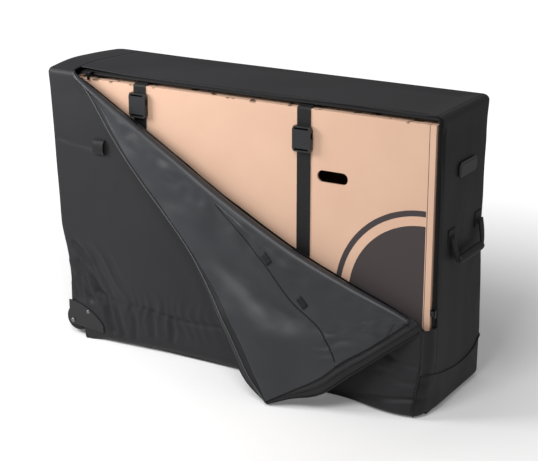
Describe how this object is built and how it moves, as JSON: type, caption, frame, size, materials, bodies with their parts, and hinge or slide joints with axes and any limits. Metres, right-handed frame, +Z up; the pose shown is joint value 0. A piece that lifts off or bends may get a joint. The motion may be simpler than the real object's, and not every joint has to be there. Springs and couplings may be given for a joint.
{
  "type": "bike travel case",
  "caption": "Soft wheeled bike travel case, front panel unzipped and folded down on a diagonal over a strapped cardboard bike carton, with an end handle.",
  "frame": {"origin": "on the floor under the middle of the closed case", "axes": "+X towards the handle end, +Y towards the back panel, +Z up"},
  "size_m": [1.2288, 0.5001, 0.8009],
  "materials": {
    "bag_fabric": "matt woven nylon with a coated back",
    "boot_fabric": "heavier coated weave",
    "lining": "semi-gloss coated lining",
    "webbing": "ribbed webbing",
    "zip_tape": "woven tape with coil teeth",
    "zip_metal": "black die-cast slider",
    "carton": "brown corrugated board",
    "board": "corrugated plastic board",
    "buckle": "moulded acetal",
    "corner_plastic": "moulded with a fine grain",
    "hub_plastic": "moulded nylon",
    "tyre": "matt rubber",
    "fastener_steel": "zinc plated",
    "grip": "wrapped padded webbing",
    "badge": "moulded rubber, bare"
  },
  "bodies": {
    "case": {"base_panel": "bag_fabric", "back_panel": "bag_fabric", "front_panel": "bag_fabric", "top_panel": "bag_fabric", "front_gusset_top": "bag_fabric", "front_gusset_side": "bag_fabric", "left_end_panel": "bag_fabric", "right_end_panel": "bag_fabric", "right_end_boot": "boot_fabric", "boot_piping": "boot_fabric", "strap_upper_left": "webbing", "strap_lower_left": "webbing", "strap_upper_right": "webbing", "strap_lower_right": "webbing", "front_loop": "webbing", "handle_patches": "webbing", "zip_tape_top": "zip_tape", "zip_tape_side": "zip_tape", "carton_front_wall": "carton", "carton_back_wall": "carton", "carton_left_wall": "carton", "carton_right_wall": "carton", "carton_floor": "carton", "carton_top_flap_front": "carton", "carton_top_flap_back": "carton", "carton_end_flap_left": "carton", "carton_end_flap_right": "carton", "base_board": "board", "buckle_socket_left": "buckle", "buckle_socket_right": "buckle", "wheel_housing_front": "corner_plastic", "wheel_housing_rear": "corner_plastic", "corner_guard_front": "corner_plastic", "corner_guard_rear": "corner_plastic", "axle_bolt_front": "fastener_steel", "axle_bolt_rear": "fastener_steel", "axle_nuts": "fastener_steel", "rivets": "fastener_steel", "badge": "badge"},
    "wheel_front": {"hub_front": "hub_plastic", "tyre_front": "tyre", "wheel_bushes_front": "hub_plastic"},
    "wheel_rear": {"hub_rear": "hub_plastic", "tyre_rear": "tyre", "wheel_bushes_rear": "hub_plastic"},
    "flap": {"flap_panel": "lining", "flap_gusset_top": "bag_fabric", "flap_gusset_side": "bag_fabric", "flap_zip": "zip_tape", "flap_pocket": "lining", "pocket_tabs": "webbing"},
    "end_handle": {"handle_webbing": "webbing", "handle_grip": "grip"},
    "top_slider": {"zip_slider_top": "zip_metal"},
    "top_puller": {"zip_puller_top": "zip_metal"},
    "side_slider": {"zip_slider_side": "zip_metal"},
    "side_puller": {"zip_puller_side": "zip_metal"},
    "left_plug": {"buckle_plug_left": "buckle"},
    "right_plug": {"buckle_plug_right": "buckle"}
  },
  "joints": [
    {"name": "wheel_front_spin", "type": "hinge", "parent": "case", "child": "wheel_front", "pos_m": [-0.55, -0.146, 0.049], "axis": [0, 1, 0], "continuous": true},
    {"name": "wheel_rear_spin", "type": "hinge", "parent": "case", "child": "wheel_rear", "pos_m": [-0.55, 0.146, 0.049], "axis": [0, 1, 0], "continuous": true},
    {"name": "flap_fold", "type": "hinge", "parent": "case", "child": "flap", "pos_m": [-0.515, -0.1783, 0.8], "axis": [-0.8944, 0, 0.4472], "range_deg": [0, 154]},
    {"name": "end_handle_swing", "type": "hinge", "parent": "case", "child": "end_handle", "pos_m": [0.6038, 0.035, 0.47], "axis": [0, -1, 0], "range_deg": [0, 145]},
    {"name": "top_slider_run", "type": "slide", "parent": "case", "child": "top_slider", "axis": [1, 0, 0], "range_m": [0, 1.042]},
    {"name": "side_slider_run", "type": "slide", "parent": "case", "child": "side_slider", "axis": [0, 0, 1], "range_m": [0, 0.482]},
    {"name": "top_puller_swing", "type": "hinge", "parent": "top_slider", "child": "top_puller", "pos_m": [-0.478, -0.1545, 0.797], "axis": [-1, 0, 0], "range_deg": [0, 150]},
    {"name": "side_puller_swing", "type": "hinge", "parent": "side_slider", "child": "side_puller", "pos_m": [0.6012, -0.14505, 0.2933], "axis": [0, -1, 0], "range_deg": [0, 150]},
    {"name": "left_buckle_release", "type": "slide", "parent": "case", "child": "left_plug", "axis": [0, 0, -1], "range_m": [0, 0.045]},
    {"name": "right_buckle_release", "type": "slide", "parent": "case", "child": "right_plug", "axis": [0, 0, -1], "range_m": [0, 0.045]}
  ]
}
